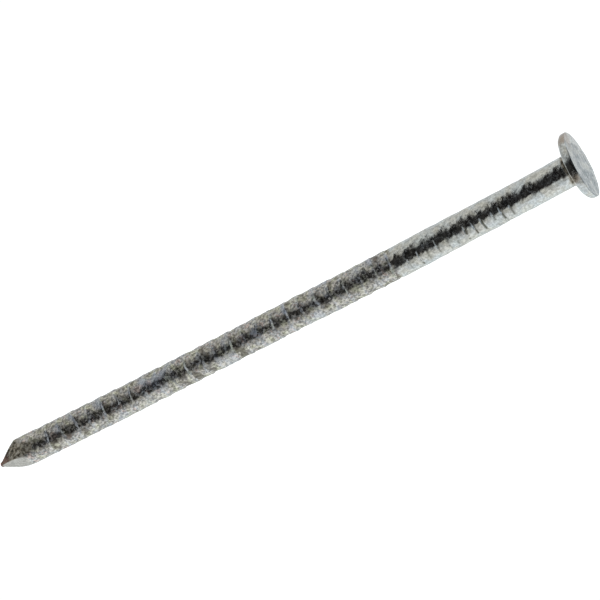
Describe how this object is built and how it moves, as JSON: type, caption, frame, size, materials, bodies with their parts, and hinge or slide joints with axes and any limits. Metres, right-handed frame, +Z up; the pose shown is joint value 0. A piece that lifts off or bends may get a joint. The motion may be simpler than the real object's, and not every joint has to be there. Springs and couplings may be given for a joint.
{
  "type": "ring shank nail",
  "caption": "Galvanised annular ring-shank nail with a flat round head, gripper marks, soft rings and a short diamond point.",
  "frame": {"origin": "on the nail's axis in the plane of the head's bearing face, where the head meets what it holds down", "axes": "+X along the nail from its tip to its head, +Z up with the nail lying on its side, +Y across it; the point's facets face +Y, -Y, +Z and -Z"},
  "size_m": [0.076, 0.0078, 0.0078],
  "materials": {
    "bare_steel": "satin",
    "galvanised_zinc": "matte"
  },
  "bodies": {
    "root": {"galvanised_coating": "galvanised_zinc", "steel_core": "bare_steel"}
  },
  "joints": []
}
